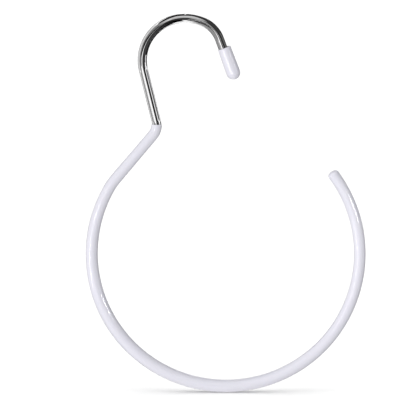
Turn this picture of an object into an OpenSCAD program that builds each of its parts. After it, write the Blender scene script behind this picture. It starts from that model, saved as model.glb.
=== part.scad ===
// Scarf hanger: one bent wire with a hook at the top and an open ring below it.
// The ring and the neck wear a dip-coated vinyl skin, and a vinyl cap is pushed on the hook's tip.
// Everything lies in the plane y = 0. The origin is the underside of the hook's crown, where it
// rests on a rail, and z points up. The lower parts have negative z.

/* [Wire] */
// Diameter of the bare plated wire
wire_d = 5; // [4:0.25:6]
// Chamfer on both cut ends of the wire
end_chamfer = 0.6; // [0.2:0.1:1.2]

/* [Hook] */
// Inside radius of the hook's back, from the crown round to the shank
hook_inner_r = 20.5; // [16:0.5:30]
// Turn of the hook's back, past 90 so that the shank leans in under the crown
hook_turn = 104; // [96:1:110]
// Inside radius of the flatter arc from the crown towards the tip
crown_inner_r = 23.5; // [18:0.5:32]
// Turn of that flatter arc
crown_turn = 20.7; // [12:0.1:30]
// Inside radius of the tip bend
tip_inner_r = 14; // [10:0.5:20]
// Turn of the tip bend
tip_turn = 49.2; // [36:0.1:60]
// Straight bare wire between the tip bend and the cap's mouth
tip_bare_l = 5.2; // [2:0.2:12]

/* [Neck] */
// Straight shank between the hook's back and the neck bend
shank_l = 28.25; // [20:0.25:45]
// Inside radius of the sharp neck bend
neck_inner_r = 6.6; // [5:0.2:12]
// Turn of the neck bend, back the other way
neck_turn = 54; // [42:1:60]
// Straight line from the neck bend to the ring's shoulder
neck_l = 31; // [20:0.5:45]
// Inside radius of the shoulder, where the neck line eases into the ring
shoulder_inner_r = 32.5; // [20:0.5:50]
// Turn of the shoulder
shoulder_turn = 10.5; // [4:0.5:20]

/* [Ring] */
// Inside diameter of the coated ring
ring_inner_d = 139; // [110:1:190]
// Turn of the ring from the shoulder to the wire's cut end
ring_turn = 245.5; // [215:0.5:262]

/* [Coating] */
// Thickness of the vinyl skin on the ring
coat_t = 0.75; // [0.4:0.05:1.5]
// Thickness of the vinyl skin round the neck bend, where it has run thinner
neck_coat_t = 0.3; // [0.25:0.05:0.6]
// Radius that rounds off the skin's rim at the dip line
rim_r = 0.2; // [0.05:0.05:0.2]
// Depth of vinyl over the wire's end at the ring's nose
nose_l = 2.2; // [1.6:0.1:3.5]
// Radius round the edge of the nose
nose_edge_r = 1.4; // [0.8:0.1:1.6]
// Radius of the shallow dome across the nose
nose_dome_r = 6; // [5:0.5:12]

/* [Tip cap] */
// Length of the cap over all
cap_l = 18.2; // [14:0.2:26]
// Wall of the cap at its mouth, all round the wire where the cap sits central
cap_wall = 1.05; // [0.9:0.05:2]
// How much the closed end is fatter than the mouth, on the radius
cap_swell = 0.22; // [0:0.02:0.5]
// Vinyl between the end of the cap's bore and its outer tip
cap_end_wall = 3; // [2.6:0.1:5]
// Radius on the outer edge of the mouth
cap_lip_r = 0.45; // [0.1:0.05:0.7]
// How far the cap sits off the wire's centre line, outwards
cap_shift = 0.7; // [0:0.05:0.75]

/* [Hidden] */
$fn = 96;
// Play between the wire and the vinyl that is bonded or stretched on it
bond_gap = 0.02;
// Every second length of a run is a hair slimmer and laps into both of its neighbours, so that
// the lengths join into one solid
hair = 0.01;
lap = 0.1;
// Play between the wire's end and the floor of the cap's bore
seat_gap = 0.1;
plated_wire = [0.80, 0.80, 0.82];
white_vinyl = [0.90, 0.89, 0.95];

wire_r = wire_d / 2;
bore_r = wire_r + bond_gap;
coat_r = wire_r + coat_t;
neck_coat_r = wire_r + neck_coat_t;
// The skin ends where the neck bend carries the wire plumb, because it was dipped level
bare_neck_turn = hook_turn - 90;
coated_neck_turn = neck_turn - bare_neck_turn;
cap_bore_l = cap_l - cap_end_wall;
tip_l = tip_bare_l + cap_bore_l - seat_gap;
cap_mouth_r = bore_r + cap_wall;
cap_end_r = cap_mouth_r + cap_swell;

// A run is how the wire is bent from the crown. It holds the heading that it sets off in, whether
// its first step is a slim one, and its steps. Each step is [straight length, radius on the
// inside of the wire, turn], with left turns positive.
RING_RUN = [180, 0, [
    [0, hook_inner_r, hook_turn],
    [shank_l, neck_inner_r, -bare_neck_turn],
    [0, neck_inner_r, -coated_neck_turn],
    [neck_l, shoulder_inner_r, shoulder_turn],
    [0, ring_inner_d / 2 + coat_t, ring_turn],
]];
TIP_RUN = [0, 1, [
    [0, crown_inner_r, -crown_turn],
    [0, tip_inner_r, -tip_turn],
    [tip_l, 0, 0],
]];
// Numbers of the steps that the skin covers, and of the straight step in the cap
NECK_BEND = 2;
NECK_LINE = 3;
RING = 4;
TIP = 2;

// Radius to the wire's centre line in a step
function bend_r(step) = step[1] + wire_r;

// 1 where step n of a run is slim, and 0 where it is full
function slim(run, n) = (run[1] + n) % 2;

// Place and heading [x, z, heading] at the end of a step that starts at the place given
function step_end(at, step) =
    let (to = at[2] + step[2], swing = sign(step[2]) * bend_r(step))
    [
        at[0] + step[0] * cos(at[2]) + swing * (sin(to) - sin(at[2])),
        at[1] + step[0] * sin(at[2]) - swing * (cos(to) - cos(at[2])),
        to,
    ];

// Place and heading at the start of step n of a run, or at its end where n is past the last step
function step_start(run, n) =
    n == 0 ? [0, wire_r, run[0]] : step_end(step_start(run, n - 1), run[2][n - 1]);

// Puts its children at the start of a step, with +x along the wire and +z to its left
module at_step(run, n) {
    at = step_start(run, n);
    translate([at[0], 0, at[1]]) rotate([0, -at[2], 0]) children();
}

// Turns a half outline drawn as [radius, distance] round the wire's centre line
module turned() {
    rotate([0, 90, 0]) rotate_extrude() children();
}

// Sweeps a section round the bend of step n, lapping into the neighbours where the step is slim
module swept_bend(run, n) {
    step = run[2][n];
    r = bend_r(step);
    after = slim(run, n) * lap / r * 180 / PI;
    before = step[0] > 0 ? 0 : after;
    translate([step[0], 0, 0]) mirror([0, 0, step[2] < 0 ? 1 : 0])
        translate([0, 0, r]) rotate([90, 0, 0]) rotate([0, 0, -90 - before])
            rotate_extrude(angle = before + abs(step[2]) + after) translate([r, 0]) children();
}

// Chamfered end of the wire, as a half outline from the place given to the cut
module wire_end_outline(from, to) {
    r = wire_r - hair;
    polygon([[0, from], [r, from], [r, to - end_chamfer], [r - end_chamfer, to], [0, to]]);
}

// One run of wire, from the crown to the start of its chamfered end
module wire_run(run) {
    steps = run[2];
    for (n = [0:len(steps) - 1]) at_step(run, n) {
        r = wire_r - slim(run, n) * hair;
        back = slim(run, n) * lap;
        if (steps[n][0] > 0 && steps[n][2] != 0)
            turned() translate([0, -back]) square([r, steps[n][0] + back]);
        if (steps[n][2] != 0) swept_bend(run, n) circle(r);
    }
}

// The whole wire: hook, shank, neck, shoulder and ring, bare or coated
module wire() {
    color(plated_wire) {
        wire_run(RING_RUN);
        at_step(RING_RUN, RING + 1) turned() wire_end_outline(-lap, end_chamfer);
        wire_run(TIP_RUN);
        at_step(TIP_RUN, TIP) turned() wire_end_outline(-lap, tip_l);
    }
}

// Section of the skin where it is bent with the wire
module skin_section(r, n) {
    difference() {
        circle(r - slim(RING_RUN, n) * hair);
        circle(bore_r + slim(RING_RUN, n) * hair);
    }
}

// Half outline of the rounded rim at the dip line, drawn up from the line
module dip_rim() {
    flat_r = neck_coat_r - rim_r;
    translate([bore_r, 0]) square([flat_r - bore_r, rim_r]);
    intersection() {
        translate([flat_r, 0]) circle(rim_r);
        translate([flat_r, 0]) square(rim_r);
    }
}

// Half outline of the tapering skin on the neck line
module neck_taper() {
    bore = bore_r + hair;
    polygon([
        [bore, -lap], [neck_coat_r - hair, -lap], [neck_coat_r - hair, 0],
        [coat_r - hair, neck_l], [bore, neck_l],
    ]);
}

// Half outline of the nose: straight side, rounded edge and shallow dome, with a pocket for
// the chamfered end of the wire
module nose() {
    r = coat_r - hair;
    tip = end_chamfer + nose_l;
    edge_x = r - nose_edge_r;
    // The dome meets the rounded edge without a corner, at this lean off the axis
    lean = asin(edge_x / (nose_dome_r - nose_edge_r));
    edge_y = tip - nose_dome_r + (nose_dome_r - nose_edge_r) * cos(lean);
    difference() {
        union() {
            translate([0, -lap]) square([r, edge_y + lap]);
            translate([edge_x, edge_y]) intersection() {
                circle(nose_edge_r);
                square(nose_edge_r);
            }
            intersection() {
                translate([0, tip - nose_dome_r]) circle(nose_dome_r);
                translate([0, edge_y]) square([edge_x + nose_edge_r * sin(lean), tip - edge_y]);
            }
        }
        polygon([
            [0, -lap], [bore_r + hair, -lap], [bore_r + hair, 0],
            [bore_r + hair - end_chamfer, end_chamfer + bond_gap], [0, end_chamfer + bond_gap],
        ]);
    }
}

// White vinyl skin, from the dip line in the neck bend to the nose
module ring_coating() {
    color(white_vinyl) {
        at_step(RING_RUN, NECK_BEND) {
            mirror([1, 0, 0]) turned() dip_rim();
            swept_bend(RING_RUN, NECK_BEND) skin_section(neck_coat_r, NECK_BEND);
        }
        at_step(RING_RUN, NECK_LINE) {
            turned() neck_taper();
            swept_bend(RING_RUN, NECK_LINE) skin_section(coat_r, NECK_LINE);
        }
        at_step(RING_RUN, RING) swept_bend(RING_RUN, RING) skin_section(coat_r, RING);
        at_step(RING_RUN, RING + 1) turned() nose();
    }
}

// Half outline of the cap from its mouth: rounded lip, slight swell and hemispherical end
module cap_profile() {
    square([cap_mouth_r - cap_lip_r, cap_lip_r]);
    intersection() {
        translate([cap_mouth_r - cap_lip_r, cap_lip_r]) circle(cap_lip_r);
        square([cap_mouth_r, cap_lip_r]);
    }
    polygon([
        [0, cap_lip_r], [cap_mouth_r, cap_lip_r], [cap_end_r, cap_l - cap_end_r],
        [0, cap_l - cap_end_r],
    ]);
    translate([0, cap_l - cap_end_r]) intersection() {
        circle(cap_end_r);
        square(cap_end_r);
    }
}

// Push-on vinyl cap with a blind bore that follows the chamfered end of the wire
module hook_tip_cap() {
    straight = cap_bore_l - end_chamfer;
    color(white_vinyl)
        at_step(TIP_RUN, TIP) translate([tip_bare_l, 0, 0]) difference() {
            translate([0, 0, cap_shift]) turned() cap_profile();
            turned() polygon([
                [0, -1], [bore_r, -1], [bore_r, straight], [bore_r - end_chamfer, cap_bore_l],
                [0, cap_bore_l],
            ]);
        }
}

wire();
ring_coating();
hook_tip_cap();
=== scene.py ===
"""Looks of the scarf hanger, built around its packed model.

The bright wire, the dipped white skin and the hook's tip cap are swept and turned in Blender at
the places that the packed model gives, and stand on a pale studio floor.
"""

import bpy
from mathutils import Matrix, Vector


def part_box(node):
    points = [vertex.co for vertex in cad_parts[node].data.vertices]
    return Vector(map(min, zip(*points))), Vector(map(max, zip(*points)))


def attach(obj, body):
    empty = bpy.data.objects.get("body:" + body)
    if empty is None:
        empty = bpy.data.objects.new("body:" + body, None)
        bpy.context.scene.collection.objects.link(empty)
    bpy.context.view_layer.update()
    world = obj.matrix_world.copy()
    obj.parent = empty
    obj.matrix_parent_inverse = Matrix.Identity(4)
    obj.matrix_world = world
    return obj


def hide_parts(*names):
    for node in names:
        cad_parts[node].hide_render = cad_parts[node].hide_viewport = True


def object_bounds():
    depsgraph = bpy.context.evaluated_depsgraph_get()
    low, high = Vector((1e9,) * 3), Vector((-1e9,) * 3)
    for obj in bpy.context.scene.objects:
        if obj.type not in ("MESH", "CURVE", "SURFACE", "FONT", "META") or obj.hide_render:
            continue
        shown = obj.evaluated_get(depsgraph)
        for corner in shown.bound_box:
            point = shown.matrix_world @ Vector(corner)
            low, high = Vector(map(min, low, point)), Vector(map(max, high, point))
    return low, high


bl_info = {
    "name": "Scarf Hanger",
    "version": (1, 0, 0),
    "blender": (4, 5, 0),
    "location": "3D View > Sidebar > Scarf Hanger",
    "description": "Builds a bent wire scarf hanger with a dipped ring, and the studio around it",
    "category": "Add Mesh",
}

from collections import namedtuple
from math import asin, cos, pi, radians, sin, tau

import bmesh
import bpy
from bpy.props import FloatProperty, FloatVectorProperty, PointerProperty
from mathutils import Matrix, Vector

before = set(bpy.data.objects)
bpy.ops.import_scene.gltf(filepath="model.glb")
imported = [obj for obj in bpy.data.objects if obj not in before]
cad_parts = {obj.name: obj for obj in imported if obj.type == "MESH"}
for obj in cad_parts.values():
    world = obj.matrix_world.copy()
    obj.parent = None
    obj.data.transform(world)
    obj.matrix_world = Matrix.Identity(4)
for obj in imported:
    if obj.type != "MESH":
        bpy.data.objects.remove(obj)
CAD_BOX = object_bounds()

MM = 0.001
BODY = "root"
# Name of the attribute that holds a point's place on the wire as if it were pulled straight
STRAIGHTENED = "straightened"

WIRE_LOW, WIRE_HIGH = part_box("wire")
COAT_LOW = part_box("ring_coating")[0]

# How finely the wire's straights and bends are divided
STRAIGHT_STEP = 1 * MM
BEND_STEP = radians(1.5)
# Sides of each round section
WIRE_SIDES = 48
COAT_SIDES = 56
CAP_SIDES = 64
# Steps round the rim of the skin, round the nose's edge and again over its dome
RIM_STEPS = 5
NOSE_STEPS = 8
# Steps round the cap's lip, along its wall and over its round end
LIP_STEPS = 6
WALL_STEPS = 24
END_STEPS = 16
# Faces that meet at more than this keep a crisp edge
SHARP = radians(40)

# Play between the vinyl and the wire, and between the wire's cut end and the cap's bore
BOND_GAP = 0.02 * MM
SEAT_GAP = 0.1 * MM
# Points closer than this are one point
WELD = 0.001 * MM

# How far each finer piece may stray past the box of the node that it stands for
WIRE_SLACK = 0.1 * MM
COAT_SLACK = 0.4 * MM
CAP_SLACK = 0.1 * MM

# A place on the wire: its middle, the way it runs and the distance along it from the crown
Station = namedtuple("Station", "centre heading along")


def length(name, description, default):
    """A length property in metres."""
    return FloatProperty(
        name=name, description=description, default=default, unit="LENGTH", precision=5
    )


def angle(name, description, default):
    """An angle property that is written in degrees and held in radians."""
    return FloatProperty(
        name=name, description=description, default=radians(default), unit="ROTATION"
    )


def number(name, description, default):
    """A plain number."""
    return FloatProperty(name=name, description=description, default=default)


def share(name, description, default):
    """A share from 0 to 1."""
    return FloatProperty(
        name=name, description=description, default=default, min=0, max=1, subtype="FACTOR"
    )


def colour(name, description, default):
    """A colour in linear light."""
    return FloatVectorProperty(
        name=name, description=description, default=default, min=0, max=1, subtype="COLOR"
    )


class ScarfHangerWire(bpy.types.PropertyGroup):
    """How the wire is bent, from the hook's crown outwards."""

    wire_d: length("Wire Diameter", "Bare plated wire", WIRE_HIGH.z)
    end_chamfer: length("End Chamfer", "Chamfer on both cut ends", 0.6 * MM)
    hook_inner_r: length("Hook Radius", "Inside radius of the hook's back", 20.5 * MM)
    hook_turn: angle("Hook Turn", "Turn of the hook's back", 104)
    crown_inner_r: length("Crown Radius", "Inside radius from crown to tip bend", 23.5 * MM)
    crown_turn: angle("Crown Turn", "Turn of the flatter arc after the crown", 20.7)
    tip_inner_r: length("Tip Radius", "Inside radius of the tip bend", 14 * MM)
    tip_turn: angle("Tip Turn", "Turn of the tip bend", 49.2)
    tip_bare_l: length("Bare Tip", "Straight bare wire before the cap", 5.2 * MM)
    shank_l: length("Shank", "Straight shank below the hook's back", 28.25 * MM)
    neck_inner_r: length("Neck Radius", "Inside radius of the neck bend", 6.6 * MM)
    neck_turn: angle("Neck Turn", "Turn of the neck bend", 54)
    neck_l: length("Neck Line", "Straight line from neck to shoulder", 31 * MM)
    shoulder_inner_r: length("Shoulder Radius", "Inside radius of the shoulder", 32.5 * MM)
    shoulder_turn: angle("Shoulder Turn", "Turn of the shoulder", 10.5)
    ring_d: length(
        "Ring Diameter", "Ring to the outside of the bare wire", WIRE_HIGH.x - WIRE_LOW.x
    )
    ring_turn: angle("Ring Turn", "Turn of the ring to the cut end", 245.5)


class ScarfHangerCoating(bpy.types.PropertyGroup):
    """The dipped vinyl skin on the neck and the ring."""

    coat_t: length("Skin", "Skin on the ring's outer side", WIRE_LOW.x - COAT_LOW.x)
    neck_coat_t: length("Neck Skin", "Thinner skin at the dip line", 0.3 * MM)
    rim_l: length("Rim", "Length over which the skin ends at the dip line", 0.2 * MM)
    nose_l: length("Nose", "Vinyl over the wire's end", 2.2 * MM)
    nose_edge_r: length("Nose Edge", "Radius round the edge of the nose", 1.8 * MM)
    nose_dome_r: length("Nose Dome", "Radius of the shallow dome", 5 * MM)
    ripple: length("Ripple", "Slow unevenness of the dipped surface", 0.012 * MM)


class ScarfHangerCap(bpy.types.PropertyGroup):
    """The push-on cap on the hook's tip."""

    cap_l: length("Cap Length", "Over all", 18.2 * MM)
    cap_wall: length("Cap Wall", "Wall at the mouth", 1.05 * MM)
    cap_swell: length("Cap Swell", "How much fatter the closed end is", 0.22 * MM)
    cap_end_wall: length("Cap End Wall", "Vinyl past the end of the bore", 3 * MM)
    cap_lip_r: length("Lip Radius", "Radius on the outer edge of the mouth", 0.45 * MM)
    cap_shift: length("Cap Shift", "How far the cap sits off the wire's line", 0.7 * MM)


class ScarfHangerFinish(bpy.types.PropertyGroup):
    """Colours and gloss of the finishes."""

    plating: colour("Plating", "Bright nickel and chrome plate", (0.92, 0.915, 0.92))
    plating_roughness: share("Plating Roughness", "Roughness of the plate", 0.015)
    vinyl: colour("Vinyl", "White vinyl with its bluish brightener", (0.80, 0.79, 0.88))
    vinyl_warm: colour("Aged Vinyl", "Where the vinyl is thicker", (0.80, 0.795, 0.86))
    vinyl_roughness: share("Vinyl Roughness", "Roughness of the vinyl", 0.14)


class ScarfHangerStudio(bpy.types.PropertyGroup):
    """Camera, floor and lights."""

    view_width: length("View Width", "Width that the picture spans at the hanger", 225.7 * MM)
    view_x: length("View Centre X", "Place at the middle of the picture", 12.7 * MM)
    view_z: length("View Centre Z", "Height at the middle of the picture", -101.31 * MM)
    view_pitch: angle("View Pitch", "How far the camera looks down", 8.2)
    view_roll: angle("View Roll", "How far the picture is turned clockwise", 0.1)
    view_distance: length("View Distance", "From the hanger to the camera", 8)
    fill_light: number("Fill Light", "Even light on matt surfaces", 0.44)
    band_light: number("Band Light", "Light of the tall band, above the fill", 1.05)
    band_bearing: angle("Band Bearing", "From the camera's side round to the tall band", -34)
    band_spread: angle("Band Spread", "From the band's middle to its soft edge", 58)
    floor_grey: share("Floor Grey", "How much light the floor gives back", 0.5)
    sun_strength: number("Sun Strength", "Light that only the floor receives", 4.9)
    sun_angle: angle("Sun Angle", "Softness of the shadow on the floor", 140)
    sun_rise: angle("Sun Rise", "Height of the floor's light, behind the hanger", 80)
    floor_size: length("Floor Size", "Side of the floor", 12)


# Meshes


def wire_route(wire, heading, steps):
    """Stations from the crown through steps of (straight length, inside radius, turn).

    Left turns are positive.
    """
    wire_r = wire.wire_d / 2
    place, along = Vector((0, 0, wire_r)), 0.0
    stations = [Station(place.copy(), heading, along)]
    for straight, inner_r, turn in steps:
        count = max(1, round(straight / STRAIGHT_STEP)) if straight > 0 else 0
        ahead = Vector((cos(heading), 0, sin(heading)))
        for _ in range(count):
            place = place + ahead * (straight / count)
            along += straight / count
            stations.append(Station(place.copy(), heading, along))
        if not turn:
            continue
        count = max(2, round(abs(turn) / BEND_STEP))
        bend_r = inner_r + wire_r
        side = 1 if turn > 0 else -1
        left = Vector((-sin(heading), 0, cos(heading)))
        middle = place + left * (side * bend_r)
        for _ in range(count):
            heading += turn / count
            along += bend_r * abs(turn) / count
            left = Vector((-sin(heading), 0, cos(heading)))
            place = middle - left * (side * bend_r)
            stations.append(Station(place.copy(), heading, along))
    return stations


def onwards(station, distance):
    """The station a distance further, straight ahead."""
    ahead = Vector((cos(station.heading), 0, sin(station.heading)))
    return Station(
        station.centre + ahead * distance, station.heading, station.along + distance
    )


def section_frame(station):
    """Local x runs along the wire, local y is the frame's and local z points to the left."""
    return Matrix.Translation(station.centre) @ Matrix.Rotation(-station.heading, 4, "Y")


def ring_frame(station, radius, shift):
    """Carries a unit circle to a section of that radius, shifted to the left."""
    return (
        section_frame(station) @ Matrix.Translation((0, 0, shift)) @ Matrix.Scale(radius, 4)
    )


def first_ring(bm, station, radius, sides):
    """Starts an empty bmesh with a ring of edges round the wire."""
    facing = Matrix.Rotation(pi / 2, 4, "Y")
    bmesh.ops.create_circle(
        bm, segments=sides, radius=1, matrix=ring_frame(station, radius, 0) @ facing
    )
    write_straightened(bm, bm.verts, station)
    return list(bm.edges)


def write_straightened(bm, verts, station):
    """Notes where each point would be if the wire were pulled straight."""
    layer = bm.verts.layers.float_vector.get(STRAIGHTENED)
    back = section_frame(station).inverted()
    for v in verts:
        local = back @ v.co
        v[layer] = Vector((station.along, local.y, local.z))


def sweep(bm, edges, sections):
    """Extrudes a ring of edges through sections of (station, radius, shift to the left)."""
    for (st_a, r_a, shift_a), (st_b, r_b, shift_b) in zip(sections, sections[1:]):
        made = bmesh.ops.extrude_edge_only(bm, edges=edges)["geom"]
        verts = [g for g in made if isinstance(g, bmesh.types.BMVert)]
        new = set(verts)
        edges = [
            g for g in made if isinstance(g, bmesh.types.BMEdge) and set(g.verts) <= new
        ]
        move = ring_frame(st_b, r_b, shift_b) @ ring_frame(st_a, r_a, shift_a).inverted()
        bmesh.ops.transform(bm, matrix=move, verts=verts)
        write_straightened(bm, verts, st_b)
    return edges


def close_with_pole(bm, edges, station, distance):
    """Closes a ring of edges onto one point a distance ahead."""
    made = bmesh.ops.extrude_edge_only(bm, edges=edges)["geom"]
    verts = [g for g in made if isinstance(g, bmesh.types.BMVert)]
    end = onwards(station, distance)
    bmesh.ops.pointmerge(bm, verts=verts, merge_co=end.centre)
    bm.verts.ensure_lookup_table()
    pole = min(bm.verts, key=lambda v: (v.co - end.centre).length)
    write_straightened(bm, [pole], end)


def chain(bm, points):
    """Edges through points given as (distance along the axis, distance from it)."""
    verts = [bm.verts.new((along, 0, out)) for along, out in points]
    edges = [bm.edges.new(pair) for pair in zip(verts, verts[1:])]
    return verts + edges


def arc(centre, radius, first, last, steps):
    """Points round a centre, between two angles measured from the axis."""
    return [
        (
            centre[0] + radius * cos(first + (last - first) * k / steps),
            centre[1] + radius * sin(first + (last - first) * k / steps),
        )
        for k in range(steps + 1)
    ]


def spun(bm, points):
    """Spins an outline fully round the x axis."""
    bmesh.ops.spin(
        bm,
        geom=chain(bm, points),
        cent=(0, 0, 0),
        axis=(1, 0, 0),
        angle=tau,
        steps=CAP_SIDES,
        use_merge=True,
        use_duplicate=False,
    )


def new_bmesh():
    """An empty bmesh that can hold straightened places."""
    bm = bmesh.new()
    bm.verts.layers.float_vector.new(STRAIGHTENED)
    return bm


def new_piece(name, bm, material):
    """Turns a closed bmesh into a smooth-shaded object at the origin."""
    bmesh.ops.recalc_face_normals(bm, faces=bm.faces)
    mesh = bpy.data.meshes.new(name)
    bm.to_mesh(mesh)
    bm.free()
    mesh.shade_smooth()
    mesh.set_sharp_from_angle(angle=SHARP)
    piece = bpy.data.objects.new(name, mesh)
    bpy.context.scene.collection.objects.link(piece)
    piece.data.materials.append(material)
    return piece


def stands_for(piece, node, slack):
    """Puts a piece in its node's place, and stops if it strays from where the node is."""
    low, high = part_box(node)
    corners = [piece.matrix_world @ Vector(c) for c in piece.bound_box]
    for axis in range(3):
        over = max(
            low[axis] - min(c[axis] for c in corners),
            max(c[axis] for c in corners) - high[axis],
        )
        if over > slack:
            raise RuntimeError(f"{piece.name} strays {over / MM:.2f} mm past node {node}")
    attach(piece, BODY)
    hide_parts(node)


def receivers(name):
    """The collection of the pieces that some of the lights reach."""
    return bpy.data.collections.get(name) or bpy.data.collections.new(name)


def ring_run(wire):
    """The wire's steps from the crown back, down the shank and round the ring."""
    wire_r = wire.wire_d / 2
    bare_turn = wire.hook_turn - pi / 2
    return [
        (0, wire.hook_inner_r, wire.hook_turn),
        (wire.shank_l, wire.neck_inner_r, -bare_turn),
        (0, wire.neck_inner_r, bare_turn - wire.neck_turn),
        (wire.neck_l, wire.shoulder_inner_r, wire.shoulder_turn),
        (0, wire.ring_d / 2 - 2 * wire_r, wire.ring_turn),
    ]


def tip_run(wire, tip_l):
    """The wire's steps from the crown forward to the tip."""
    return [
        (0, wire.crown_inner_r, -wire.crown_turn),
        (0, wire.tip_inner_r, -wire.tip_turn),
        (tip_l, 0, 0),
    ]


def ring_stations(wire):
    """Stations from the crown to the start of the chamfer at the ring's end."""
    return wire_route(wire, pi, ring_run(wire))


def tip_stations(wire, tip_l):
    """Stations from the crown to the end of the tip's straight length."""
    return wire_route(wire, 0, tip_run(wire, tip_l))


def dip_along(wire):
    """Distance along the wire from the crown to the dip line, where the wire is plumb."""
    bare_turn = wire.hook_turn - pi / 2
    return (
        (wire.hook_inner_r + wire.wire_d / 2) * wire.hook_turn
        + wire.shank_l
        + (wire.neck_inner_r + wire.wire_d / 2) * bare_turn
    )


def onto_chamfer(station, radius, ahead, chamfer):
    """Sections from a station to the small end of a chamfer that lies ahead of it."""
    return [(station, radius, 0), (onwards(station, ahead), radius - chamfer, 0)]


class SCARFHANGER_OT_add_wire(bpy.types.Operator):
    """Sweep the plated wire through the hook, the shank, the neck and the ring"""

    bl_idname = "scarf_hanger.add_wire"
    bl_label = "Add Wire"

    def execute(self, context):
        wire = context.scene.scarf_hanger_wire
        cap = context.scene.scarf_hanger_cap
        chamfer = wire.end_chamfer
        wire_r = wire.wire_d / 2
        tip_l = wire.tip_bare_l + cap.cap_l - cap.cap_end_wall - SEAT_GAP
        ring = ring_stations(wire)
        tip = tip_stations(wire, tip_l - chamfer)
        # The tip's run sets off from the same ring of edges, so it is told backwards
        tip = [Station(s.centre, s.heading + pi, -s.along) for s in tip]
        bm = new_bmesh()
        start = first_ring(bm, ring[0], wire_r, WIRE_SIDES)
        for stations, ahead in ((ring, chamfer), (tip, -chamfer)):
            edges = sweep(bm, start, [(s, wire_r, 0) for s in stations])
            edges = sweep(bm, edges, onto_chamfer(stations[-1], wire_r, ahead, chamfer))
            bmesh.ops.contextual_create(bm, geom=edges)
        piece = new_piece("bent_wire", bm, plated_steel(context.scene.scarf_hanger_finish))
        stands_for(piece, "wire", WIRE_SLACK)
        return {"FINISHED"}


# How thick the skin is along the dipped length: (share of that length, share of the ring's
# skin). It thins towards the dip line, and has drained towards the hanger's lower left.
SKIN_ALONG = (
    (0.00, 0.40),
    (0.02, 0.56),
    (0.12, 0.76),
    (0.23, 1.00),
    (0.34, 1.27),
    (0.44, 1.26),
    (0.55, 1.20),
    (0.66, 1.08),
    (0.76, 0.93),
    (0.87, 0.80),
    (1.00, 0.80),
)


# The skin's slow unevenness is the sum of two waves, each with a length and a place on its swing
RIPPLES = ((9.7 * MM, 0), (5.3 * MM, 1.3))
# The even skin sets in this far past the dip line
RIM_LEAD = 0.3 * MM
# How soon the extra skin stops being pushed inwards, away from the ring's lowest point
BOTTOM_FADE = 6


def skin_share(part):
    """The skin's thickness at a part of the dipped length, eased between the given places."""
    for (at, here), (then, there) in zip(SKIN_ALONG, SKIN_ALONG[1:]):
        if part <= then:
            t = max(0, (part - at) / (then - at))
            return here + (there - here) * (1 - cos(pi * t)) / 2
    return SKIN_ALONG[-1][1]


def coat_sections(stations, coating, wire):
    """Outer sections of the skin, from the dip line to the start of the nose."""
    dip = dip_along(wire)
    dipped_l = stations[-1].along - dip
    sections = []
    for st in stations:
        if st.along < dip + RIM_LEAD:
            continue
        skin = coating.coat_t * skin_share((st.along - dip) / dipped_l)
        ripple = coating.ripple * sum(sin(st.along / wave + swing) for wave, swing in RIPPLES)
        # The ring stands no lower than its node does, so at the bottom the skin grows inwards
        level = max(0, cos(st.heading)) ** BOTTOM_FADE
        shift = max(0, skin + 2 * coating.ripple - coating.coat_t) * level
        sections.append((st, wire.wire_d / 2 + skin + ripple, shift))
    return sections


def rim_sections(dip, bore_r, neck_r, rim_l):
    """Sections of the rounded rim, which swells from the bore to the neck's skin."""
    return [
        (onwards(dip, -rim_l * back), bore_r + (neck_r - bore_r) * out, 0)
        for back, out in arc((0, 0), 1, 0, pi / 2, RIM_STEPS)
    ]


def nose_sections(end, radius, coating, tip):
    """Sections of the nose: a rounded edge and a shallow dome, short of the pole at its tip."""
    edge_r = coating.nose_edge_r
    dome_r = coating.nose_dome_r
    edge_x = radius - edge_r
    lean = asin(edge_x / (dome_r - edge_r))
    dome_at = tip - dome_r
    edge_at = dome_at + (dome_r - edge_r) * cos(lean)
    outline = [(edge_at / 2, radius)]
    outline += arc((edge_at, edge_x), edge_r, pi / 2, lean, NOSE_STEPS)
    outline += arc((dome_at, 0), dome_r, lean, 0, NOSE_STEPS)[1:-1]
    return [(onwards(end, along), out, 0) for along, out in outline]


class SCARFHANGER_OT_add_ring_coating(bpy.types.Operator):
    """Dip the neck and the ring: a vinyl skin with a rim at the dip line and a nose"""

    bl_idname = "scarf_hanger.add_ring_coating"
    bl_label = "Add Ring Coating"

    def execute(self, context):
        wire = context.scene.scarf_hanger_wire
        coating = context.scene.scarf_hanger_coating
        bore_r = wire.wire_d / 2 + BOND_GAP
        neck_r = wire.wire_d / 2 + coating.neck_coat_t
        dip = dip_along(wire)
        stations = [s for s in ring_stations(wire) if s.along >= dip - WELD]
        end = stations[-1]
        bm = new_bmesh()
        rim = rim_sections(stations[0], bore_r, neck_r, coating.rim_l)
        edges = first_ring(bm, rim[0][0], bore_r, COAT_SIDES)
        # Bore, from the rim to the pocket that holds the wire's chamfered end
        inner = sweep(bm, edges, [rim[0]] + [(s, bore_r, 0) for s in stations])
        pocket = onto_chamfer(end, bore_r, wire.end_chamfer + BOND_GAP, wire.end_chamfer)
        inner = sweep(bm, inner, pocket)
        close_with_pole(bm, inner, pocket[-1][0], 0)
        # Outside, from the rim at the dip line to the nose
        sections = coat_sections(stations, coating, wire)
        tip = wire.end_chamfer + coating.nose_l
        nose = nose_sections(end, sections[-1][1], coating, tip)
        outer = sweep(bm, edges, rim + sections + nose)
        close_with_pole(bm, outer, end, tip)
        finish = context.scene.scarf_hanger_finish
        piece = new_piece("dipped_skin", bm, dipped_vinyl("dipped_white_vinyl", finish))
        receivers("vinyl_pieces").objects.link(piece)
        stands_for(piece, "ring_coating", COAT_SLACK)
        return {"FINISHED"}


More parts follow.
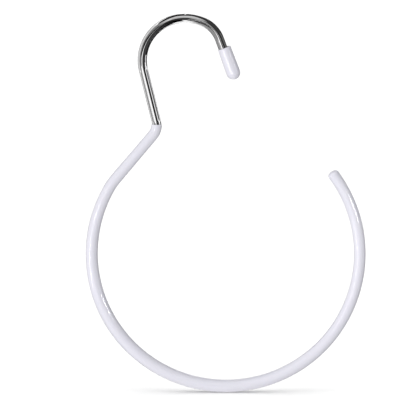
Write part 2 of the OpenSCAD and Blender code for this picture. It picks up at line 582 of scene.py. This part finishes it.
class SCARFHANGER_OT_add_hook_tip_cap(bpy.types.Operator):
    """Turn the push-on vinyl cap with its lip, swell, round end and blind bore"""

    bl_idname = "scarf_hanger.add_hook_tip_cap"
    bl_label = "Add Hook Tip Cap"

    def execute(self, context):
        wire = context.scene.scarf_hanger_wire
        cap = context.scene.scarf_hanger_cap
        bore_r = wire.wire_d / 2 + BOND_GAP
        bore_l = cap.cap_l - cap.cap_end_wall
        mouth_r = bore_r + cap.cap_wall
        end_r = mouth_r + cap.cap_swell
        lip_r = cap.cap_lip_r
        end_at = cap.cap_l - end_r
        # Outside, round the cap's own axis
        outline = arc((lip_r, mouth_r - lip_r), lip_r, pi, pi / 2, LIP_STEPS)
        for k in range(1, WALL_STEPS):
            t = k / WALL_STEPS
            outline.append((lip_r + (end_at - lip_r) * t, mouth_r + (end_r - mouth_r) * t))
        outline += arc((end_at, 0), end_r, pi / 2, 0, END_STEPS)
        bm = new_bmesh()
        spun(bm, outline)
        bmesh.ops.translate(bm, verts=bm.verts, vec=(0, 0, cap.cap_shift))
        # Bore, round the wire's axis
        bore = (
            (0, bore_r),
            (bore_l / 2, bore_r),
            (bore_l - wire.end_chamfer, bore_r),
            (bore_l, bore_r - wire.end_chamfer),
            (bore_l, 0),
        )
        spun(bm, bore)
        bmesh.ops.remove_doubles(bm, verts=bm.verts, dist=WELD)
        bmesh.ops.bridge_loops(bm, edges=[e for e in bm.edges if e.is_boundary])
        mouth = tip_stations(wire, wire.tip_bare_l)[-1]
        bmesh.ops.transform(bm, matrix=section_frame(mouth), verts=bm.verts)
        write_straightened(bm, bm.verts, mouth)
        finish = context.scene.scarf_hanger_finish
        piece = new_piece("push_on_cap", bm, dipped_vinyl("cap_white_vinyl", finish))
        receivers("cap_pieces").objects.link(piece)
        stands_for(piece, "hook_tip_cap", CAP_SLACK)
        return {"FINISHED"}


# Materials


def new_material(name):
    """A material with its Principled BSDF, and the tree's nodes and links."""
    material = bpy.data.materials.new(name)
    material.use_nodes = True
    tree = material.node_tree
    return material, tree.nodes, tree.links, tree.nodes["Principled BSDF"]


def add_noise(nodes, links, place, scale, detail):
    """Noise at a place; the scale counts its waves in a metre."""
    noise = nodes.new("ShaderNodeTexNoise")
    noise.inputs["Scale"].default_value = scale
    noise.inputs["Detail"].default_value = detail
    links.new(place, noise.inputs["Vector"])
    return noise.outputs["Fac"]


def add_bump(nodes, links, height, surface, strength, distance):
    """Raises and sinks a surface by a height from 0 to 1."""
    bump = nodes.new("ShaderNodeBump")
    bump.inputs["Strength"].default_value = strength
    bump.inputs["Distance"].default_value = distance
    links.new(height, bump.inputs["Height"])
    links.new(bump.outputs["Normal"], surface.inputs["Normal"])


def add_roughness(nodes, links, pattern, surface, least, most):
    """Lets a surface's roughness follow a pattern between two values."""
    spread = nodes.new("ShaderNodeMapRange")
    spread.inputs["To Min"].default_value = least
    spread.inputs["To Max"].default_value = most
    links.new(pattern, spread.inputs["Value"])
    links.new(spread.outputs["Result"], surface.inputs["Roughness"])


def plated_steel(finish):
    """Bright plate over drawn wire, with fine lines along the wire."""
    material, nodes, links, surface = new_material("plated_steel")
    surface.inputs["Base Color"].default_value = (*finish.plating, 1)
    surface.inputs["Metallic"].default_value = 1
    place = nodes.new("ShaderNodeAttribute")
    place.attribute_name = STRAIGHTENED
    # Draw lines run along the wire, so the pattern is stretched along it
    stretch = nodes.new("ShaderNodeMapping")
    stretch.inputs["Scale"].default_value = (0.02, 1, 1)
    links.new(place.outputs["Vector"], stretch.inputs["Vector"])
    lines = add_noise(nodes, links, stretch.outputs["Vector"], scale=2600, detail=3)
    add_bump(nodes, links, lines, surface, strength=0.12, distance=0.01 * MM)
    rough = finish.plating_roughness
    add_roughness(nodes, links, lines, surface, least=rough * 0.6, most=rough * 1.5)
    return material


def dipped_vinyl(name, finish):
    """Soft white vinyl: faint orange peel, slow clouding of its colour and gloss."""
    material, nodes, links, surface = new_material(name)
    place = nodes.new("ShaderNodeTexCoord").outputs["Object"]
    clouds = add_noise(nodes, links, place, scale=90, detail=4)
    tint = nodes.new("ShaderNodeMix")
    tint.data_type = "RGBA"
    tint.inputs["A"].default_value = (*finish.vinyl, 1)
    tint.inputs["B"].default_value = (*finish.vinyl_warm, 1)
    links.new(clouds, tint.inputs["Factor"])
    links.new(tint.outputs["Result"], surface.inputs["Base Color"])
    rough = finish.vinyl_roughness
    add_roughness(nodes, links, clouds, surface, least=rough * 0.8, most=rough * 1.2)
    peel = add_noise(nodes, links, place, scale=900, detail=2)
    add_bump(nodes, links, peel, surface, strength=0.1, distance=0.02 * MM)
    surface.inputs["IOR"].default_value = 1.5
    surface.inputs["Subsurface Weight"].default_value = 0.15
    surface.inputs["Subsurface Radius"].default_value = (1.0, 0.95, 0.9)
    surface.inputs["Subsurface Scale"].default_value = 0.6 * MM
    return material


# Stage


def seen_directly(nodes, links):
    """1 where the camera, a mirror or glass looks straight at the surface."""
    path = nodes.new("ShaderNodeLightPath")
    direct = path.outputs["Is Camera Ray"]
    for name in ("Is Glossy Ray", "Is Transmission Ray"):
        either = nodes.new("ShaderNodeMath")
        either.operation = "MAXIMUM"
        links.new(direct, either.inputs[0])
        links.new(path.outputs[name], either.inputs[1])
        direct = either.outputs["Value"]
    return direct


def white_surround(studio):
    """A world that looks white, and lights matt surfaces with a tall band and an even fill."""
    world = bpy.data.worlds.new("white_surround")
    world.use_nodes = True
    bpy.context.scene.world = world
    nodes, links = world.node_tree.nodes, world.node_tree.links
    lighting = nodes["Background"]
    lighting.inputs["Color"].default_value = (1, 1, 1, 1)
    direction = nodes.new("ShaderNodeTexCoord")
    level = nodes.new("ShaderNodeVectorMath")
    level.operation = "MULTIPLY"
    level.inputs[1].default_value = (1, 1, 0)
    links.new(direction.outputs["Generated"], level.inputs[0])
    around = nodes.new("ShaderNodeVectorMath")
    around.operation = "NORMALIZE"
    links.new(level.outputs["Vector"], around.inputs[0])
    nearness = nodes.new("ShaderNodeVectorMath")
    nearness.operation = "DOT_PRODUCT"
    nearness.inputs[1].default_value = bearing(studio.band_bearing, 0)
    links.new(around.outputs["Vector"], nearness.inputs[0])
    strength = nodes.new("ShaderNodeMapRange")
    strength.interpolation_type = "SMOOTHSTEP"
    strength.inputs["From Min"].default_value = cos(studio.band_spread)
    strength.inputs["From Max"].default_value = 1
    strength.inputs["To Min"].default_value = studio.fill_light
    strength.inputs["To Max"].default_value = studio.fill_light + studio.band_light
    links.new(nearness.outputs["Value"], strength.inputs["Value"])
    links.new(strength.outputs["Result"], lighting.inputs["Strength"])
    white = nodes.new("ShaderNodeBackground")
    white.inputs["Color"].default_value = (1, 1, 1, 1)
    mix = nodes.new("ShaderNodeMixShader")
    links.new(seen_directly(nodes, links), mix.inputs["Fac"])
    links.new(lighting.outputs["Background"], mix.inputs[1])
    links.new(white.outputs["Background"], mix.inputs[2])
    links.new(mix.outputs["Shader"], nodes["World Output"].inputs["Surface"])


def stage_material(name, kind, setting, value):
    """A material with one plain shader for a piece of the stage."""
    material, nodes, links, surface = new_material(name)
    nodes.remove(surface)
    shader = nodes.new(kind)
    shader.inputs[setting].default_value = value
    links.new(shader.outputs[0], nodes["Material Output"].inputs["Surface"])
    return material


def staged(name, bm, material):
    """Turns a bmesh into an object of the stage."""
    mesh = bpy.data.meshes.new(name)
    bm.to_mesh(mesh)
    bm.free()
    thing = bpy.data.objects.new(name, mesh)
    bpy.context.scene.collection.objects.link(thing)
    thing.data.materials.append(material)
    return thing


def bearing(azimuth, elevation):
    """The direction at a bearing: azimuth 0 is the camera's side and 90 degrees the right."""
    return Vector(
        (sin(azimuth) * cos(elevation), -cos(azimuth) * cos(elevation), sin(elevation))
    )


def facing_from(target, azimuth, elevation, distance):
    """Stands at a bearing from the target and faces it."""
    out = bearing(azimuth, elevation)
    turn = (-out).to_track_quat("-Z", "Y")
    return Matrix.Translation(target + out * distance) @ turn.to_matrix().to_4x4()


def add_floor(studio):
    """A matt floor at the hanger's foot that keeps the shadow and colours nothing else."""
    grey = (studio.floor_grey, studio.floor_grey, studio.floor_grey, 1)
    bm = bmesh.new()
    bmesh.ops.create_grid(bm, x_segments=1, y_segments=1, size=studio.floor_size / 2)
    bmesh.ops.translate(bm, verts=bm.verts, vec=(0, 0, CAD_BOX[0].z))
    material = stage_material("pale_floor", "ShaderNodeBsdfDiffuse", "Color", grey)
    floor = staged("floor", bm, material)
    floor.visible_glossy = False
    floor.visible_diffuse = False
    floor.visible_shadow = False
    receivers("floor_only").objects.link(floor)


def add_camera(studio):
    """The photograph's view: a long lens that looks down a little."""
    data = bpy.data.cameras.new("camera")
    camera = bpy.data.objects.new("camera", data)
    bpy.context.scene.collection.objects.link(camera)
    target = Vector((studio.view_x, 0, studio.view_z))
    seat = facing_from(target, 0, studio.view_pitch, studio.view_distance)
    camera.matrix_world = seat @ Matrix.Rotation(studio.view_roll, 4, "Z")
    data.sensor_width = SENSOR_WIDTH
    data.lens = data.sensor_width * studio.view_distance / studio.view_width
    data.clip_end = 2 * studio.view_distance
    bpy.context.scene.camera = camera


# The camera's sensor, in the millimetres that Blender's cameras are given in
SENSOR_WIDTH = 36

# Panels of the dome that only mirrors and gloss see, each from one bearing to another and from
# one height to another in degrees, with its brightness, where 1 is white. Bearing 0 is the
# camera's side and 90 the right. A later panel hangs in front of the ones before it.
PANELS = {
    "dark_overhead": (-179, 178, 50, 90, 0.02),
    "grey_front_upper": (-15, 47, 1, 58, 0.40),
    "black_back_upper": (78, 214, 37, 50, 0.00),
    "pale_left": (-121, -86, -20, 44, 0.59),
    "grey_front_left": (-77, -19, -31, 50, 0.22),
    "dark_front_left": (-47, 2, -4, 16, 0.02),
    "dark_front_lower": (-38, -3, -57, -12, 0.05),
    "grey_left_lower": (-138, -25, -79, -21, 0.31),
    "dark_right_upper": (15, 157, 5, 88, 0.04),
    "dark_front": (-2, 32, -41, 0, 0.03),
    "black_right_lower": (3, 133, -74, -16, 0.00),
    "black_front_right": (25, 41, -9, 12, 0.00),
    "dark_back_right_lower": (103, 177, -43, 0, 0.03),
    "dark_strip_right": (41, 65, -2, 2, 0.07),
    "white_patch_front": (-39, -8, -17, -11, 1.15),
    "pale_front_high": (-41, 33, 36, 73, 0.60),
    "black_back_left": (-177, -134, -40, 26, 0.00),
    "dark_right_lower": (17, 78, -49, -2, 0.05),
    "black_back_right": (135, 171, 2, 24, 0.00),
    "white_strip_left": (-56, -40, -22, -18, 1.15),
    "grey_right": (73, 102, 0, 24, 0.15),
    "white_strip_right": (69, 92, -5, 5, 1.15),
}
DOME_R = 8
PANEL_GAP = 0.05
# Largest angle that one face of a panel spans, in degrees
PANEL_STEP = 5


def add_dome(middle):
    """Hangs the dome's panels round the hook."""
    for count, (name, (first, last, low, high, grey)) in enumerate(PANELS.items()):
        radius = DOME_R - PANEL_GAP * count
        rows = max(2, round((high - low) / PANEL_STEP))
        columns = max(2, round((last - first) / PANEL_STEP))
        bm = bmesh.new()
        profile = chain(bm, arc((0, 0), radius, radians(low), radians(high), rows))
        turn = Matrix.Rotation(radians(first - 90), 3, "Z")
        bmesh.ops.rotate(bm, verts=bm.verts, cent=(0, 0, 0), matrix=turn)
        bmesh.ops.spin(
            bm,
            geom=profile,
            cent=(0, 0, 0),
            axis=(0, 0, 1),
            angle=radians(last - first),
            steps=columns,
        )
        bmesh.ops.translate(bm, verts=bm.verts, vec=middle)
        material = stage_material(name, "ShaderNodeEmission", "Strength", grey)
        panel = staged(name, bm, material)
        panel.visible_camera = False
        panel.visible_diffuse = False
        panel.visible_transmission = False
        panel.visible_shadow = False


# An area light that faces the pieces it reaches. The bearing, the rise above level and the lean of
# its top to the right are in degrees, and the distance and the size in metres. It draws either a
# highlight in the gloss or light on the matt surface, and reaches one collection of pieces.
Lamp = namedtuple("Lamp", "bearing rise distance lean width height brightness draws reaches")
LAMPS = {
    "leaning_line_light": Lamp(-42, -6, 1, 45, 0.07, 0.75, 20, "highlight", "vinyl_pieces"),
    "small_side_light": Lamp(56, 5, 0.285, 0, 0.05, 0.045, 28, "highlight", "vinyl_pieces"),
    "cap_line_light": Lamp(-28, -18, 1, 70, 0.08, 0.36, 13, "highlight", "cap_pieces"),
    "cap_spot_light": Lamp(69, 11, 1, 0, 0.1, 0.1, 12, "highlight", "cap_pieces"),
    "side_fill": Lamp(56, 5, 0.285, 0, 0.15, 0.15, 0.9, "matt light", "vinyl_pieces"),
    "cap_fill": Lamp(48, 5, 1, 0, 0.5, 0.5, 0.75, "matt light", "cap_pieces"),
}


def add_light(name, kind, reaches, matrix):
    """A light that reaches one collection of pieces and nothing else."""
    data = bpy.data.lights.new(name, kind)
    light = bpy.data.objects.new(name, data)
    bpy.context.scene.collection.objects.link(light)
    light.matrix_world = matrix
    light.light_linking.receiver_collection = receivers(reaches)
    return light


def add_lamp(name, lamp, target):
    """Adds one of the area lights round a target."""
    seat = facing_from(target, radians(lamp.bearing), radians(lamp.rise), lamp.distance)
    lean = Matrix.Rotation(radians(-lamp.lean), 4, "Z")
    light = add_light(name, "AREA", lamp.reaches, seat @ lean)
    light.data.shape = "RECTANGLE"
    light.data.size = lamp.width
    light.data.size_y = lamp.height
    light.data.energy = lamp.brightness * pi * lamp.width * lamp.height
    light.visible_diffuse = lamp.draws == "matt light"
    light.visible_glossy = lamp.draws == "highlight"


def add_floor_sun(studio):
    """A soft sun from behind that only the floor receives, so the shadow falls forwards."""
    seat = facing_from(Vector(), pi, studio.sun_rise, 1)
    sun = add_light("floor_sun", "SUN", "floor_only", seat)
    sun.data.energy = studio.sun_strength
    sun.data.angle = studio.sun_angle


class SCARFHANGER_OT_add_stage(bpy.types.Operator):
    """Add the camera, the pale floor, the white surround, the dome of panels and the lights"""

    bl_idname = "scarf_hanger.add_stage"
    bl_label = "Add Stage"

    def execute(self, context):
        studio = context.scene.scarf_hanger_studio
        context.scene.view_settings.view_transform = "Standard"
        add_camera(studio)
        white_surround(studio)
        add_floor(studio)
        add_floor_sun(studio)
        cap_low, cap_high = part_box("hook_tip_cap")
        add_dome(Vector((0, 0, cap_low.z)))
        targets = {
            "vinyl_pieces": (CAD_BOX[0] + CAD_BOX[1]) / 2,
            "cap_pieces": (cap_low + cap_high) / 2,
        }
        for name, lamp in LAMPS.items():
            add_lamp(name, lamp, targets[lamp.reaches])
        return {"FINISHED"}


class SCARFHANGER_PT_panel(bpy.types.Panel):
    """Scarf hanger tools"""

    bl_idname = "SCARFHANGER_PT_panel"
    bl_label = "Scarf Hanger"
    bl_space_type = "VIEW_3D"
    bl_region_type = "UI"
    bl_category = "Scarf Hanger"

    def draw(self, context):
        for name, group in GROUPS.items():
            box = self.layout.box()
            box.label(text=group.__doc__)
            settings = getattr(context.scene, name)
            for prop in group.__annotations__:
                box.prop(settings, prop)
        for operator in OPERATORS:
            self.layout.operator(operator.bl_idname)


GROUPS = {
    "scarf_hanger_wire": ScarfHangerWire,
    "scarf_hanger_coating": ScarfHangerCoating,
    "scarf_hanger_cap": ScarfHangerCap,
    "scarf_hanger_finish": ScarfHangerFinish,
    "scarf_hanger_studio": ScarfHangerStudio,
}
OPERATORS = (
    SCARFHANGER_OT_add_stage,
    SCARFHANGER_OT_add_wire,
    SCARFHANGER_OT_add_ring_coating,
    SCARFHANGER_OT_add_hook_tip_cap,
)


def register():
    """Registers the settings, the operators and the panel."""
    for name, group in GROUPS.items():
        bpy.utils.register_class(group)
        setattr(bpy.types.Scene, name, PointerProperty(type=group))
    for cls in (*OPERATORS, SCARFHANGER_PT_panel):
        bpy.utils.register_class(cls)


def unregister():
    """Takes everything out again."""
    for cls in reversed((*OPERATORS, SCARFHANGER_PT_panel)):
        bpy.utils.unregister_class(cls)
    for name, group in reversed(GROUPS.items()):
        delattr(bpy.types.Scene, name)
        bpy.utils.unregister_class(group)


def main():
    """Registers, then builds the stage and every piece."""
    register()
    bpy.ops.scarf_hanger.add_stage()
    bpy.ops.scarf_hanger.add_wire()
    bpy.ops.scarf_hanger.add_ring_coating()
    bpy.ops.scarf_hanger.add_hook_tip_cap()


if __name__ == "__main__":
    main()
